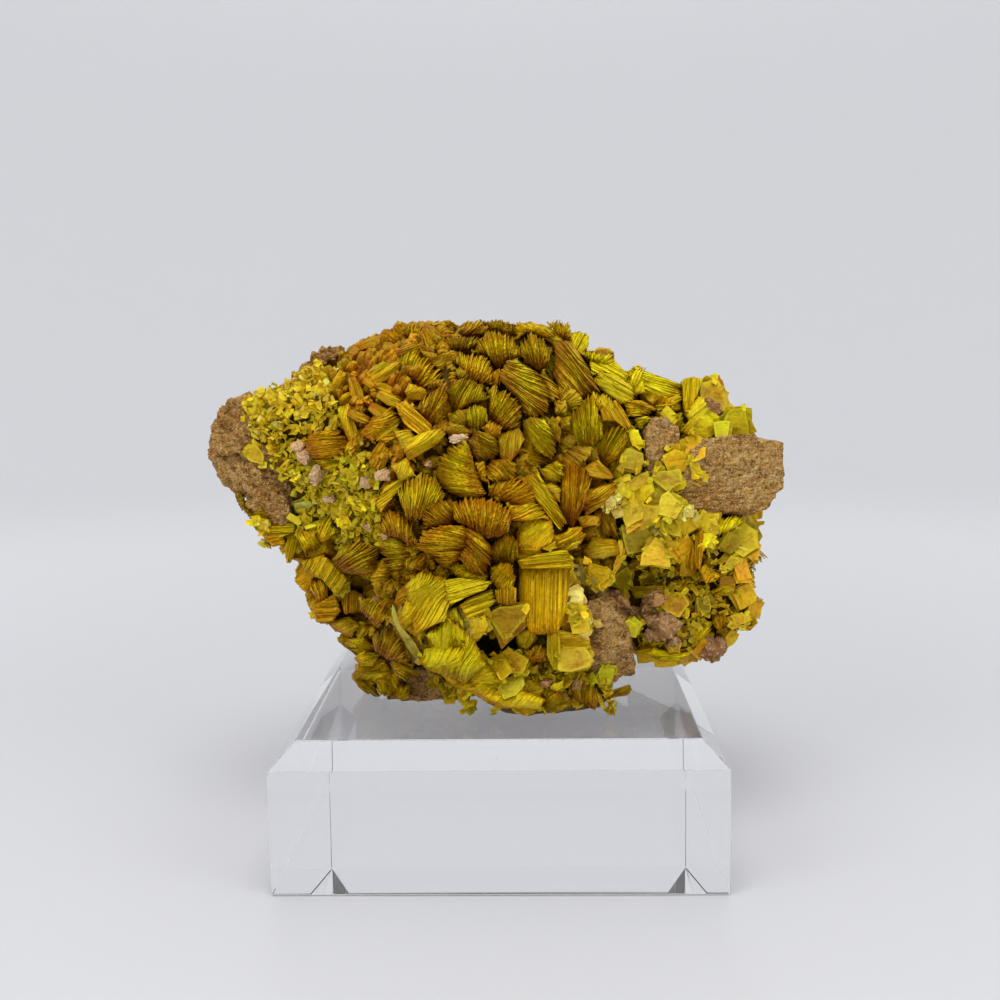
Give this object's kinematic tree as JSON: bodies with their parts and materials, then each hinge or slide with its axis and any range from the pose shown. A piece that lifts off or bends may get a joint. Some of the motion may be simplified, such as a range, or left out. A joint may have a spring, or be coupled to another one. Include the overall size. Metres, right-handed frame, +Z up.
{
  "type": "autunite crystal specimen on a display block",
  "caption": "Crust of fanned yellow-green platy crystals over brown granular rock, standing on a clear bevelled block for display.",
  "frame": {"origin": "centre of the block's underside", "axes": "+Z up, +X along the specimen's length, -Y towards the side that shows the crystals best"},
  "size_m": [0.1089, 0.0762, 0.0955],
  "materials": {
    "clear_block": "clear polished acrylic",
    "rock": "rough, granular, brown",
    "autunite": "yellow-green platy crystals, pearly on their faces and glassy on their edges"
  },
  "bodies": {
    "root": {"display_block": "clear_block", "matrix_rock": "rock", "autunite_crust": "autunite"}
  },
  "joints": []
}
